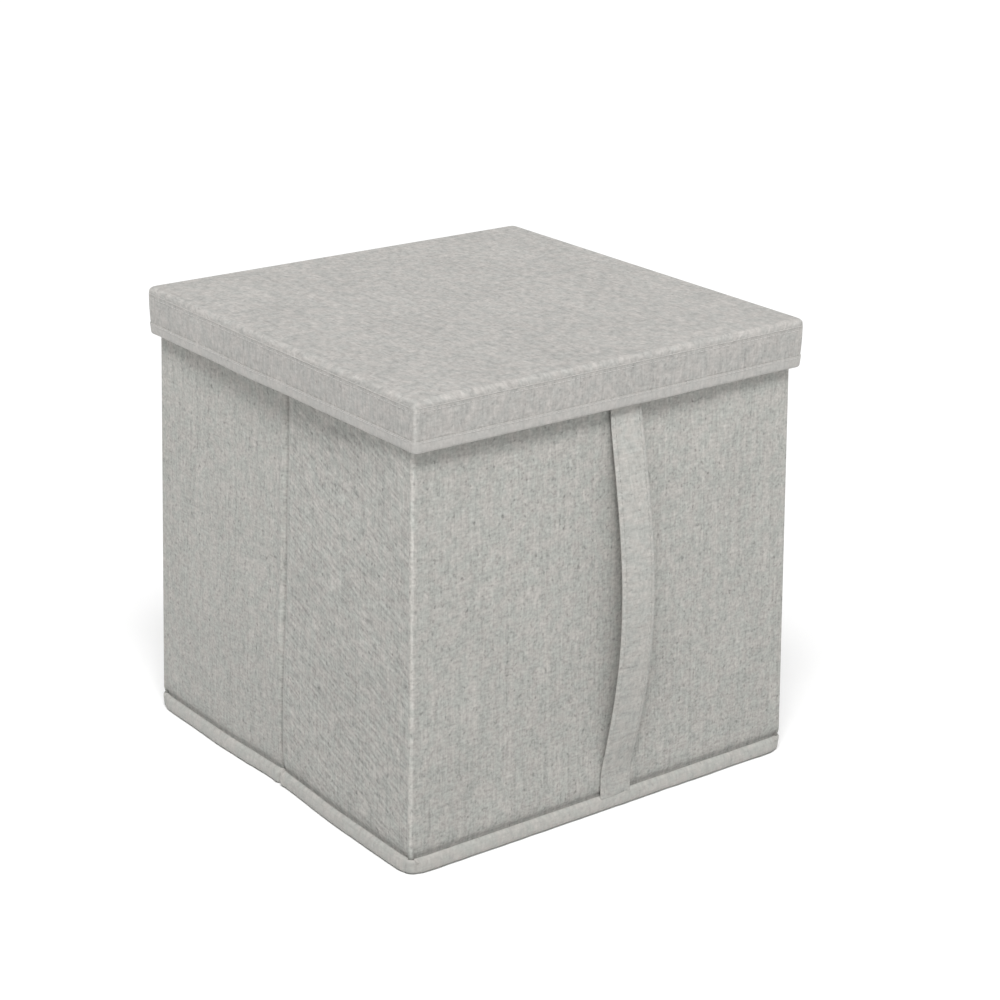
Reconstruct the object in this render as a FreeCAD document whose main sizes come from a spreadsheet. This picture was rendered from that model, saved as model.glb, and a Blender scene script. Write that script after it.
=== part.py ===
import FreeCAD
import Part
import Sketcher
import os
import re

# Fabric storage bin with a lift-off lid, in millimetres, +Z up.
# The origin is the middle of the base on the floor. The wall with the carry strap is at -Y, and the two
# walls that fold in at a vertical crease are at -X and +X.
# Every wall is a sandwich of outer cloth, board and lining, with a cloth hem turned over one edge.
# Cloth that runs on from wall to wall is divided at the corners and creases, where the walls turn.

DIMENSIONS = (
    ("lid_width", 310, "lid over its skirt, the same both ways"),
    ("bin_height", 310, "floor to the top of the lid"),
    ("body_width", 300, "body over its outer cloth, the same both ways"),
    ("cloth_thick", 0.8, "outer cloth"),
    ("board_thick", 2.6, "stiff board of walls, lid top and insert"),
    ("lining_thick", 0.6, "lining"),
    ("rest_gap", 0.3, "play where one piece rests on another"),
    ("panel_gap", 1.0, "cloth left free between a side board's end and its hinge line"),
    ("board_inset", 3.5, "how far a folding wall's board stops short of its cloth, at each end"),
    ("board_seat", 1.2, "floor to the lower edge of the wall boards"),
    ("rim_hem", 16, "height of the hem at the rim"),
    ("tape_thick", 1.8, "how far the base binding stands out"),
    ("tape_height", 10, "height of the base binding"),
    ("insert_play", 1.2, "gap all round the loose base insert"),
    ("lid_skirt", 33, "height of the lid's side over all"),
    ("skirt_board", 1.6, "board in the lid's skirt"),
    ("skirt_inset", 8, "how far the skirt's boards stop short of the lid's corners"),
    ("skirt_lining", 0.4, "lining of the lid's skirt"),
    ("skirt_hem", 8, "height of the hem at the skirt's lower edge"),
    ("strap_width", 25, "carry strap across"),
    ("strap_thick", 1.6, "strap, two layers of cloth"),
    ("strap_shift", 9, "strap's centre line, to the +X side of the wall's middle"),
    ("strap_bow", 16, "how far the strap stands off the wall"),
    ("strap_radius", 510, "outer radius of the strap's bow"),
    ("strap_middle", 145, "height of the fullest point of the bow"),
    ("grip_angle", 15, "arc of the bow that the hand holds, in degrees"),
    ("top_tab_low", 265, "lower edge of the strap's sewn top end"),
    ("top_tab_high", 300, "upper edge of the strap's sewn top end"),
    ("foot_tab_high", 25, "upper edge of the strap's sewn bottom end"),
)

# Sizes that follow from the ones above.
DERIVED = {
    "half_body": "body_width / 2",
    "half_lid": "lid_width / 2",
    "wall_thick": "cloth_thick + board_thick + lining_thick",
    "skirt_thick": "cloth_thick + skirt_board + skirt_lining",
    "rim_level": "bin_height - wall_thick - rest_gap",
    "rim_hem_low": "rim_level - rim_hem",
    "half_panel": "half_body - wall_thick - 2 * panel_gap",
    "half_panel_middle": "(half_body - wall_thick) / 2",
    "lid_board_top": "bin_height - cloth_thick",
    "lid_board_low": "lid_board_top - board_thick",
    "lid_board_width": "lid_width - 2 * skirt_thick",
    "skirt_low": "bin_height - lid_skirt",
    "skirt_hem_top": "skirt_low + skirt_hem",
    "insert_width": "body_width - 2 * wall_thick - 2 * insert_play",
    "insert_board_width": "insert_width - 2 * cloth_thick",
    "insert_low": "cloth_thick + rest_gap",
    "insert_board_low": "insert_low + cloth_thick",
    "inner_radius": "strap_radius - strap_thick",
    "bow_centre": "strap_radius - strap_bow - half_body",
    "end_angle": "acos((strap_radius - strap_bow + rest_gap) / inner_radius)",
    "half_grip": "grip_angle * 1deg / 2",
}

UP = FreeCAD.Vector(0, 0, 1)
ACROSS = FreeCAD.Vector(1, 0, 0)

# Name, middle of the outer face, turn about Z that points depth inwards, length, and whether the outer
# cloth turns round the wall's ends.
WALLS = (
    ("front", "0", "-half_body", 0, "body_width", True),
    ("back", "0", "half_body", 180, "body_width", True),
    ("left_front", "-half_body", "-half_panel_middle", -90, "half_panel", False),
    ("left_rear", "-half_body", "half_panel_middle", -90, "half_panel", False),
    ("right_front", "half_body", "-half_panel_middle", 90, "half_panel", False),
    ("right_rear", "half_body", "half_panel_middle", 90, "half_panel", False),
)
LID_SIDES = (
    ("lid_front", "0", "-half_lid", 0, "lid_width", True),
    ("lid_back", "0", "half_lid", 180, "lid_width", True),
    ("lid_left", "-half_lid", "0", -90, "lid_board_width", False),
    ("lid_right", "half_lid", "0", 90, "lid_board_width", False),
)

doc = FreeCAD.newDocument("StorageBin")
nodes = []


def make_sheet():
    """The driving dimensions, one to a row, with the alias that expressions use."""
    sheet = doc.addObject("Spreadsheet::Sheet", "Sizes")
    for row, (alias, value, meaning) in enumerate(DIMENSIONS, start=1):
        sheet.set(f"A{row}", meaning)
        sheet.set(f"B{row}", str(value))
        sheet.setAlias(f"B{row}", alias)
    doc.recompute()


def bound(text):
    """FreeCAD expression for text written in aliases and derived sizes."""
    aliases = {alias for alias, _, _ in DIMENSIONS}

    def replace(match):
        word = match.group()
        if word in DERIVED:
            return f"({bound(DERIVED[word])})"
        return f"Sizes.{word}" if word in aliases else word

    return re.sub(r"[a-z_]{4,}", replace, text)


def place(item, x, y, z, angle=0.0):
    """Position bound to the sheet, after a fixed turn about Z."""
    item.Placement = FreeCAD.Placement(FreeCAD.Vector(), FreeCAD.Rotation(UP, angle))
    for letter, value in zip("xyz", (x, y, z)):
        item.setExpression(f"Placement.Base.{letter}", bound(value))


def new_body(label):
    body = doc.addObject("PartDesign::Body", label)
    body.Label = label
    nodes.append(body)
    return body


def outline_sketch(body, plane, corners):
    """Closed sketch through corners, each a pair of sizes along the sketch's two axes."""
    sketch = body.newObject("Sketcher::SketchObject", f"{body.Label}_outline")
    base = next(item for item in body.Origin.OriginFeatures if item.Role == plane)
    sketch.AttachmentSupport = [(base, "")]
    sketch.MapMode = "FlatFace"
    count = len(corners)
    # The sketch starts as a regular polygon, and its constraints bring each corner to its place.
    start = [FreeCAD.Rotation(UP, 360.0 * i / count).multVec(ACROSS) for i in range(count)]
    for i in range(count):
        sketch.addGeometry(Part.LineSegment(start[i], start[(i + 1) % count]))
    for i in range(count):
        sketch.addConstraint(Sketcher.Constraint("Coincident", i, 2, (i + 1) % count, 1))
    for i, corner in enumerate(corners):
        for kind, size, now in zip(("DistanceX", "DistanceY"), corner, start[i]):
            index = sketch.addConstraint(Sketcher.Constraint(kind, -1, 1, i, 1, now))
            sketch.setExpression(f"Constraints[{index}]", bound(size))
    return sketch


def pad(body, sketch, length, midplane=False):
    feature = body.newObject("PartDesign::Pad", f"{body.Label}_pad")
    feature.Profile = sketch
    feature.Midplane = midplane
    feature.setExpression("Length", bound(length))
    return feature


def rectangle(x_low, x_high, y_low, y_high):
    return [(x_low, y_low), (x_high, y_low), (x_high, y_high), (x_low, y_high)]


def square(width):
    return rectangle(f"-{width} / 2", f"{width} / 2", f"-{width} / 2", f"{width} / 2")


def layer(width, outer, inner):
    """Plan of a straight layer of a wall, from depth outer to depth inner."""
    return rectangle(f"-({width}) / 2", f"({width}) / 2", outer, inner)


def cuff(width, outer, inner, reach):
    """Plan of a layer that also turns round both ends of the wall, as deep as reach."""
    skin = f"({inner} - ({outer}))"
    end = f"({width}) / 2 - ({outer})"
    inside = f"({width}) / 2 - ({outer}) - {skin}"
    return [
        (f"-({end})", outer),
        (end, outer),
        (end, reach),
        (inside, reach),
        (inside, inner),
        (f"-({inside})", inner),
        (f"-({inside})", reach),
        (f"-({end})", reach),
    ]


def hem_section(board_side, lining_side, edge, fold, end):
    """Section of a hem: a strip folded over a board's edge, whose two legs reach to end."""
    return [
        ("0", end),
        ("0", edge),
        (lining_side, edge),
        (lining_side, end),
        (board_side, end),
        (board_side, fold),
        ("cloth_thick", fold),
        ("cloth_thick", end),
    ]


def wall_layer(wall, suffix, corners, low, high):
    """One upright layer of a wall, from level low to level high."""
    name, x, y, angle, _, _ = wall
    body = new_body(f"{name}_{suffix}")
    pad(body, outline_sketch(body, "XY_Plane", corners), f"{high} - ({low})")
    place(body, x, y, low, angle)


def wall_hem(wall, suffix, corners):
    """The hem along one edge of a wall."""
    name, x, y, angle, width, _ = wall
    body = new_body(f"{name}_{suffix}")
    pad(body, outline_sketch(body, "YZ_Plane", corners), width, midplane=True)
    place(body, x, y, "0", angle)


def sandwich(wall, board, lining, board_width, cloth_levels, board_levels):
    """Outer cloth, board and lining of one wall. The cloths share one pair of levels."""
    width, wrapped = wall[4:]
    board_side = f"cloth_thick + {board}"
    total = f"{board_side} + {lining}"
    lining_width = f"{width} - 2 * cloth_thick" if wrapped else width
    cover = cuff(width, "0", "cloth_thick", total) if wrapped else layer(width, "0", "cloth_thick")
    wall_layer(wall, "cover", cover, *cloth_levels)
    wall_layer(wall, "board", layer(board_width, "cloth_thick", board_side), *board_levels)
    wall_layer(wall, "lining", layer(lining_width, board_side, total), *cloth_levels)


def make_body_walls():
    for wall in WALLS:
        width, wrapped = wall[4:]
        board_width = "body_width - 2 * cloth_thick" if wrapped else "half_panel - 2 * board_inset"
        cloth_levels = ("board_seat", "rim_hem_low")
        board_levels = ("board_seat", "rim_level - cloth_thick")
        sandwich(wall, "board_thick", "lining_thick", board_width, cloth_levels, board_levels)
        sides = ("cloth_thick + board_thick", "wall_thick")
        levels = ("rim_level", "rim_level - cloth_thick", "rim_hem_low")
        wall_hem(wall, "rim_hem", hem_section(*sides, *levels))
        tape = cuff(width, "-tape_thick", "0", "wall_thick") if wrapped else layer(width, "-tape_thick", "0")
        wall_layer(wall, "base_tape", tape, "0", "tape_height")


def flat_piece(label, width, low, thickness):
    """A square sheet or board that lies flat about the middle."""
    body = new_body(label)
    pad(body, outline_sketch(body, "XY_Plane", square(width)), thickness)
    place(body, "0", "0", low)
    return body


def make_lid():
    for side in LID_SIDES:
        board_width = "lid_width - 2 * skirt_inset"
        cloth_levels = ("skirt_hem_top", "lid_board_top")
        board_levels = ("skirt_low + cloth_thick", "lid_board_top")
        sandwich(side, "skirt_board", "skirt_lining", board_width, cloth_levels, board_levels)
        sides = ("cloth_thick + skirt_board", "skirt_thick")
        levels = ("skirt_low", "skirt_low + cloth_thick", "skirt_hem_top")
        wall_hem(side, "hem", hem_section(*sides, *levels))
    flat_piece("lid_top_cover", "lid_width", "lid_board_top", "cloth_thick")
    flat_piece("lid_top_board", "lid_board_width", "lid_board_low", "board_thick")
    flat_piece("lid_top_lining", "lid_board_width", "lid_board_low - lining_thick", "lining_thick")


def make_base():
    flat_piece("base_cloth", "body_width", "0", "cloth_thick")
    flat_piece("insert_under_cloth", "insert_width", "insert_low", "cloth_thick")
    flat_piece("insert_board", "insert_board_width", "insert_board_low", "board_thick")
    # The insert's top cloth is turned down over the board's four edges.
    cloth = flat_piece("insert_top_cloth", "insert_width", "insert_board_low", "board_thick + cloth_thick")
    hollow = cloth.newObject("PartDesign::Pocket", "insert_top_cloth_hollow")
    hollow.Profile = outline_sketch(cloth, "XY_Plane", square("insert_board_width"))
    hollow.Reversed = True
    hollow.setExpression("Length", bound("board_thick"))


def bow_piece(label, sweep, middle):
    """A stretch of the bowed strap, sweep long, with its middle at an angle above the bow's fullest point."""
    body = new_body(label)
    section = rectangle("-strap_width / 2", "strap_width / 2", "-strap_radius", "-inner_radius")
    sketch = outline_sketch(body, "XY_Plane", section)
    feature = body.newObject("PartDesign::Revolution", f"{label}_sweep")
    feature.Profile = sketch
    feature.ReferenceAxis = (sketch, ["H_Axis"])
    feature.Midplane = True
    feature.setExpression("Angle", bound(sweep))
    body.Placement = FreeCAD.Placement(FreeCAD.Vector(), FreeCAD.Rotation(ACROSS, 1))
    body.setExpression("Placement.Rotation.Angle", bound(middle))
    for letter, value in zip("xyz", ("strap_shift", "bow_centre", "strap_middle")):
        body.setExpression(f"Placement.Base.{letter}", bound(value))


def tab_piece(label, low, high):
    """A sewn end of the strap, flat on the front wall."""
    tab = doc.addObject("Part::Box", label)
    tab.Label = label
    nodes.append(tab)
    tab.setExpression("Length", bound("strap_width"))
    tab.setExpression("Width", bound("strap_thick"))
    tab.setExpression("Height", bound(f"{high} - ({low})"))
    place(tab, "strap_shift - strap_width / 2", "-half_body - strap_thick", low)


def make_strap():
    bow_piece("strap_grip", "2 * half_grip", "0deg")
    bow_piece("strap_upper", "end_angle - half_grip", "-(end_angle + half_grip) / 2")
    bow_piece("strap_lower", "end_angle - half_grip", "(end_angle + half_grip) / 2")
    tab_piece("strap_top_tab", "top_tab_low", "top_tab_high")
    tab_piece("strap_foot_tab", "tape_height", "foot_tab_high")


def check_document():
    """Every object recomputed without an error, and every node holds a sound solid."""
    for item in doc.Objects:
        if {"Invalid", "Error"} & set(item.State):
            raise RuntimeError(f"{item.Label} did not recompute: {item.State}")
    for node in nodes:
        if node.Shape.isNull() or not node.Shape.isValid() or len(node.Shape.Solids) != 1:
            raise RuntimeError(f"{node.Label} is not one sound solid")


def write_nodes():
    os.makedirs("parts", exist_ok=True)
    for node in nodes:
        node.Shape.exportStep(f"parts/{node.Label}.step")


make_sheet()
make_body_walls()
make_base()
make_strap()
make_lid()
doc.recompute()
check_document()
write_nodes()
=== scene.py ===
import math
from collections import namedtuple

import bmesh
import bpy
from mathutils import Matrix, Vector, noise


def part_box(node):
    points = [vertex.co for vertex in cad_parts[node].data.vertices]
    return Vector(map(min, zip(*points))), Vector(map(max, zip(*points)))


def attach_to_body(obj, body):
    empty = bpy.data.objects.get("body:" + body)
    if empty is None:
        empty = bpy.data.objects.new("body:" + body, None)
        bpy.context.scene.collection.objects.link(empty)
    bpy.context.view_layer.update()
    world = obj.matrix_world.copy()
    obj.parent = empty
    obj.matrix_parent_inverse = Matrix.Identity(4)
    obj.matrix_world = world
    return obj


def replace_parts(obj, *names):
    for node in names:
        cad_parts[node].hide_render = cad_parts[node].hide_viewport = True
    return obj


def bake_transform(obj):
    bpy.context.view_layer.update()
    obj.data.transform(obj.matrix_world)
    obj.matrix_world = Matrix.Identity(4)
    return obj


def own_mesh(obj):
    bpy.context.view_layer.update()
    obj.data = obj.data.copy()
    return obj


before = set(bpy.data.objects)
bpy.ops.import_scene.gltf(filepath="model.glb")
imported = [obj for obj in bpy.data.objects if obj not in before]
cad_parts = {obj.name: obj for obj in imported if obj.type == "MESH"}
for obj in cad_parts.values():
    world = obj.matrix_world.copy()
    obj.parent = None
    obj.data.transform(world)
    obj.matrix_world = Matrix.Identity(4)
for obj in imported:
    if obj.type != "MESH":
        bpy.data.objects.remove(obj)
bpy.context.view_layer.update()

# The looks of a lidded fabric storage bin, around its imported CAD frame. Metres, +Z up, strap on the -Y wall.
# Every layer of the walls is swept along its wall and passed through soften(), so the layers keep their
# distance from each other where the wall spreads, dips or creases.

MM = 0.001

# ---------------------------------------------------------------- sizes, from the frame

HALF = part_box("front_cover")[1].x  # middle of the body to its outer cloth
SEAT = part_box("front_cover")[0].z  # lower edge of the walls' cloth
RIM_LOW, RIM = (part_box("front_rim_hem")[i].z for i in (0, 1))
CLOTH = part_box("base_cloth")[1].z  # thickness of the cover cloth
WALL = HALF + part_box("front_lining")[1].y  # thickness of a whole wall
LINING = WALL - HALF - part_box("front_lining")[0].y
TAPE_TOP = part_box("front_base_tape")[1].z
TAPE_ROLL = -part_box("front_base_tape")[0].y - HALF + 0.8 * MM  # how far the tape's soft roll stands out

LID_PROUD = 1.0 * MM  # how far the lid's soft cloth stands out from its boards
LID_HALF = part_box("lid_top_cover")[1].x + LID_PROUD
LID_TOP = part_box("lid_top_cover")[1].z
SKIRT_LOW, SKIRT_HEM = (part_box("lid_front_hem")[i].z for i in (0, 1))
SKIRT = LID_HALF - LID_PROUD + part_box("lid_front_lining")[1].y
SKIRT_LINING = SKIRT - LID_HALF + LID_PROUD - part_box("lid_front_lining")[0].y

# ---------------------------------------------------------------- shape of the cloth

CORNER = 3.0 * MM  # outer radius of the body's corners
LID_CORNER = 3.4 * MM
TOP_EDGE = 3.4 * MM  # radius of the lid's top edge
STRAIGHT = HALF - CORNER  # end of a wall's straight stretch
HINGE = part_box("left_rear_board")[1].y  # where the cloth starts to bend at a folding corner
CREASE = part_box("left_rear_board")[0].y  # and at a side wall's crease
QUARTER = 2 * STRAIGHT + CORNER * math.pi / 2  # outline length from one wall's middle to the next
LID_STRAIGHT = LID_HALF - LID_CORNER
LID_QUARTER = 2 * LID_STRAIGHT + LID_CORNER * math.pi / 2

SPREAD = 6.0 * MM  # how far each wall stands out at the floor
CREASE_SPREAD = 3.2 * MM  # and at a side wall's crease, which stays inside its fold line
RACK = (-2.0 * MM, 1.5 * MM)  # how far the front left corner is pushed out of square
PUSH = 6.5 * MM  # how far a side wall's crease lies in, at the rim
DIP = 0.7 * MM  # unevenness of the walls
RIM_LEAN = 0.8 * MM  # how far the middle of each board's cloth leans in at the rim
PINCH = 1.8 * MM  # how far the wall is drawn in at the base seam
SEAM_HEIGHT = TAPE_TOP + 1.2 * MM
BOARD_EDGE = HALF - 13 * MM  # where a board's edge shows through the cloth, from the wall's middle
ROUNDED = 2.2 * MM  # how far the body's corners are drawn in at the base
AIR = 0.05 * MM  # the play between a board and the cloths on it


def ease(value, low, high):
    """0 below low, 1 above high, and smooth between them."""
    t = min(max((value - low) / (high - low), 0.0), 1.0)
    return t * t * (3 - 2 * t)


def hump(value, middle, width):
    """1 at the middle, and fading to 0 within about twice the width."""
    return math.exp(-(((value - middle) / width) ** 2))


def swell(a, b, seed, size):
    """Smooth unevenness from about -1 to 1, with dents of the given size."""
    return 1.6 * noise.noise(Vector((a / size, b / size, seed)))


def spread(point):
    """Moves a point of the body out with the walls, which spread towards the floor, and out of square."""
    x, y, z = point
    down = max(0.0, 1 - z / RIM)
    side = CREASE_SPREAD + (SPREAD - CREASE_SPREAD) * ease(abs(y), 0, HALF / 2)
    corner = (1 - x / HALF) * (1 - y / HALF) / 4
    x += x / HALF * side * down + RACK[0] * corner
    y += y / HALF * SPREAD * down + RACK[1] * corner
    return x, y, z


def crease_relief(y, z):
    """How far a side wall stands in from its plane: it leans in to the crease, which has a sharp groove."""
    lean = PUSH * ease(z, 0, 280 * MM) * max(0.0, 1 - abs(y) / HINGE)
    groove = 1.5 * MM * hump(y, -0.4 * MM, 1.5 * MM)
    ridge = 1.1 * MM * hump(y, 4.4 * MM, 2.4 * MM) * ease(z, 20 * MM, 90 * MM)
    return lean + groove - ridge


def wall_relief(t, z, seed):
    """How far a wall stands in from its plane at t along it: dents, seam pinch and board edges."""
    away = 1 - ease(abs(t), 0.8 * HINGE, HINGE)
    dents = DIP * swell(t, z, seed, 95 * MM) + 0.35 * MM * swell(t, z, seed + 7, 38 * MM)
    pinch = PINCH * (0.6 * hump(z, SEAM_HEIGHT, 2.2 * MM) + 0.4 * hump(z, SEAM_HEIGHT, 9 * MM))
    board_edge = 0.3 * MM * hump(abs(t), BOARD_EDGE, 1.6 * MM)
    lean = RIM_LEAN * ease(z, 170 * MM, RIM_LOW) * (1 - ease(abs(t), 0.55 * HINGE, HINGE))
    return away * dents * ease(z, 0, 40 * MM) + lean + pinch - board_edge * ease(z, 15 * MM, 60 * MM)


def strap_dent(x, z):
    """The shallow dent beside the strap in the front wall."""
    return 1.5 * MM * hump(x, -8 * MM, 22 * MM) * hump(z, 215 * MM, 38 * MM)


def soften(point):
    """Where a point of the plain upright wall lies on the real, slightly uneven one."""
    x, y, z = point
    across, deep = abs(x) > abs(y), min(abs(x), abs(y))
    if deep < STRAIGHT:
        if across:
            x -= math.copysign(crease_relief(y, z) + wall_relief(y, z, math.copysign(3.1, x)), x)
        else:
            y -= math.copysign(wall_relief(x, z, math.copysign(8.3, y)), y)
            if y < 0:
                y += strap_dent(x, z)
    corner = hump(abs(x), HALF, 7 * MM) * hump(abs(y), HALF, 7 * MM) * (1 - ease(z, 4 * MM, 16 * MM))
    x -= math.copysign(ROUNDED * corner, x)
    y -= math.copysign(ROUNDED * corner, y)
    return spread((x, y, z))


# ---------------------------------------------------------------- outlines

def quarter_turned(x, y, turns):
    """A point turned about the Z axis by quarter turns."""
    for _ in range(turns):
        x, y = -y, x
    return x, y


def outline(u, out, half, radius):
    """The point at length u along a square outline with round corners, out from it by the given amount.
    Lengths start at the middle of the front and run towards +X. Well inside, the corners are sharp."""
    straight = 2 * (half - radius)
    quarter = straight + radius * math.pi / 2
    turn, rest = divmod(u + straight / 2, quarter)
    if rest <= straight:
        x, y = rest - straight / 2, -(half + out)
    else:
        angle = (rest - straight) / radius
        x = half - radius + (radius + out) * math.sin(angle)
        y = -(half - radius) - (radius + out) * math.cos(angle)
    limit = half + out
    x, y = max(-limit, min(limit, x)), max(-limit, min(limit, y))
    return quarter_turned(x, y, round(turn) % 4)


def on_wall(u, out, z):
    """A point of the body's cloth."""
    return soften((*outline(u, out, HALF, CORNER), z))


def on_side(side):
    """Points of a flat layer of one wall: side 0 is the front, and they count towards +X."""
    def place(t, out, z):
        return soften((*quarter_turned(t, -(HALF + out), side), z))
    return place


def soften_lid(point):
    """Where a point of the plain lid lies on the real one: the skirt leans in a little and is uneven."""
    x, y, z = point
    down = max(0.0, (LID_TOP - z) / (LID_TOP - SKIRT_LOW))
    seed = 2.0 if abs(x) > abs(y) else 5.0
    along = y if abs(x) > abs(y) else x
    away = 1 - ease(abs(along), 0.86 * LID_HALF, LID_HALF)
    lean = 0.9 * MM * down - 0.5 * MM * math.sin(math.pi * min(down, 1))
    lean += 0.45 * MM * away * down * swell(along, 0, seed + math.copysign(1, x + 2 * y), 70 * MM)
    lift = 0.5 * MM * down * swell(along, 0, seed + 9, 60 * MM)
    share = 1 - lean / LID_HALF
    return x * share, y * share, z + lift * away


def on_skirt(u, out, z):
    """A point of the lid's skirt."""
    return soften_lid((*outline(u, out, LID_HALF, LID_CORNER), z))


def steps(start, end, step, *fine):
    """Values from start to end, at most step apart, and closer around each fine (middle, reach, step)."""
    def even(low, high, pitch):
        count = max(1, math.ceil((high - low) / pitch - 1e-6))
        return [low + (high - low) * i / count for i in range(count + 1)]
    values = even(start, end, step)
    for middle, reach, pitch in fine:
        low, high = max(start, middle - reach), min(end, middle + reach)
        if low < high:
            values = [v for v in values if not low < v < high] + even(low, high, pitch)
    return sorted({round(v, 7) for v in values})


def round_corners(start, end, step, half, radius, *fine):
    """Stations along an outline, with enough of them in each corner."""
    arc = radius * math.pi / 2
    quarter = 2 * (half - radius) + arc
    first = half - radius + arc / 2
    corners = [(first + i * quarter, 0.5 * arc + 1e-6, arc / 8) for i in range(-2, 4)]
    near = [(first + i * quarter, 12 * MM, 1.5 * MM) for i in range(-2, 4)]
    return steps(start, end, step, *near, *corners, *fine)


# ---------------------------------------------------------------- mesh building

WELD = 0.002 * MM  # points nearer than this become one
NO_LENGTH = 0.0001 * MM  # edges shorter than this are dropped
SHARP_TURN = math.radians(42)  # an edge that turns by more looks sharp


def make_piece(name, points, faces, weave):
    """A mesh object with smooth faces, sharp edges where it turns, and the cloth's coordinates as UVs.
    weave gives, for each corner of each face, its place on the flat cloth in metres."""
    mesh = bpy.data.meshes.new(name)
    mesh.from_pydata([tuple(p) for p in points], [], faces)
    layer = mesh.uv_layers.new(name="weave")
    for loop, place in zip(layer.data, weave):
        loop.uv = place
    work = bmesh.new()
    work.from_mesh(mesh)
    bmesh.ops.remove_doubles(work, verts=work.verts, dist=WELD)
    bmesh.ops.dissolve_degenerate(work, edges=work.edges, dist=NO_LENGTH)
    bmesh.ops.recalc_face_normals(work, faces=work.faces)
    for face in work.faces:
        face.smooth = True
    for edge in work.edges:
        edge.smooth = len(edge.link_faces) == 2 and edge.calc_face_angle(0) < SHARP_TURN
    work.to_mesh(mesh)
    work.free()
    piece = bpy.data.objects.new(name, mesh)
    bpy.context.scene.collection.objects.link(piece)
    return piece


def sweep(name, stations, section, place):
    """A strip of one closed section: place(station, out, height) puts each of the section's points.
    The section's second half runs back beside its first, so each end closes with quads."""
    count = len(section)
    run = [0.0]
    for a, b in zip(section, section[1:] + section[:1]):
        run.append(run[-1] + math.dist(a, b))
    points = [place(u, *p) for u in stations for p in section]
    faces, weave = [], []
    for i in range(len(stations) - 1):
        for j in range(count):
            k = (j + 1) % count
            faces.append((i * count + j, i * count + k, (i + 1) * count + k, (i + 1) * count + j))
            low, high = stations[i], stations[i + 1]
            weave += [(low, run[j]), (low, run[j + 1]), (high, run[j + 1]), (high, run[j])]
    for first in (0, (len(stations) - 1) * count):
        for j in range(count // 2 - 1):
            faces.append(tuple(first + n for n in (j, j + 1, count - 2 - j, count - 1 - j)))
            weave += [(0, run[j]), (0, run[j + 1]), (CLOTH, run[j + 1]), (CLOTH, run[j])]
    return make_piece(name, points, faces, weave)


def plate(name, xs, ys, place):
    """A sheet as a grid: place(x, y, layer) gives its points, with layer 0 above and 1 below."""
    wide, deep = len(xs), len(ys)
    points = [place(x, y, layer) for layer in (0, 1) for y in ys for x in xs]

    def vertex(i, j, layer):
        return layer * wide * deep + j * wide + i

    faces, weave = [], []
    for layer in (0, 1):
        for j in range(deep - 1):
            for i in range(wide - 1):
                corners = ((i, j), (i + 1, j), (i + 1, j + 1), (i, j + 1))
                faces.append(tuple(vertex(a, b, layer) for a, b in corners))
                weave += [(xs[a], ys[b]) for a, b in corners]
    rim = [(i, 0) for i in range(wide)] + [(wide - 1, j) for j in range(1, deep)]
    rim += [(i, deep - 1) for i in range(wide - 2, -1, -1)] + [(0, j) for j in range(deep - 2, 0, -1)]
    for (i, j), (k, m) in zip(rim, rim[1:] + rim[:1]):
        faces.append((vertex(i, j, 0), vertex(k, m, 0), vertex(k, m, 1), vertex(i, j, 1)))
        weave += [(xs[i], ys[j]), (xs[k], ys[m]), (xs[k], ys[m] + CLOTH), (xs[i], ys[j] + CLOTH)]
    return make_piece(name, points, faces, weave)


def layer_section(outer, inner, heights):
    """The section of a flat layer of a wall, between two distances out from the outline."""
    return [(outer, z) for z in heights] + [(inner, z) for z in reversed(heights)]


def folded_section(edge, reach, outer, inner, thick, arc_steps=10):
    """The section of a strip folded over an edge at height edge, with legs that reach back by reach.
    A positive reach folds over a lower edge, and a negative one over an upper edge."""
    middle, radius = (outer + inner) / 2, (outer - inner) / 2
    way = math.copysign(1, reach)
    centre = edge + way * radius

    def leg_and_arc(r):
        arc = [math.pi * i / arc_steps for i in range(arc_steps + 1)]
        curve = [(middle + r * math.cos(a), centre - way * r * math.sin(a)) for a in arc]
        start, end = (middle + r, edge + reach), (middle - r, edge + reach)
        halfway = (start[1] + centre) / 2
        return [start, (start[0], halfway), *curve, (end[0], halfway), end]

    return leg_and_arc(radius) + leg_and_arc(radius - thick)[::-1]


def stitch_row(name, ends, radius=0.33 * MM):
    """A row of threads: each of ends is the two end points of one stitch."""
    sides = 6
    points, faces, weave = [], [], []
    for a, b in ends:
        a, b = Vector(a), Vector(b)
        axis = (b - a).normalized()
        across = axis.orthogonal().normalized()
        beside = axis.cross(across)
        base = len(points)
        rings = ((0.0, 0.35), (0.15, 0.85), (0.5, 1.0), (0.85, 0.85), (1.0, 0.35))
        for share, size in rings:
            for k in range(sides):
                angle = 2 * math.pi * k / sides
                offset = across * math.cos(angle) + beside * math.sin(angle)
                points.append(a.lerp(b, share) + offset * radius * size)
        for ring in range(len(rings) - 1):
            for k in range(sides):
                m = (k + 1) % sides
                low, high = base + ring * sides, base + (ring + 1) * sides
                faces.append((low + k, low + m, high + m, high + k))
        faces.append(tuple(base + k for k in range(sides)))
        faces.append(tuple(base + (len(rings) - 1) * sides + k for k in range(sides)))
    for face in faces:
        weave += [(points[v].x + points[v].y, points[v].z) for v in face]
    return make_piece(name, points, faces, weave)


def dashes(start, end, pitch=3.6 * MM, gap=0.9 * MM):
    """The start and end of each stitch along a seam."""
    count = int((end - start) / pitch)
    spare = (end - start - count * pitch + gap) / 2
    return [(start + spare + i * pitch, start + spare + (i + 1) * pitch - gap) for i in range(count)]


def seam(start, end, out, height, place):
    """The stitches along a level seam."""
    return [(place(a, out, height), place(b, out, height)) for a, b in dashes(start, end)]


# ---------------------------------------------------------------- materials

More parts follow.
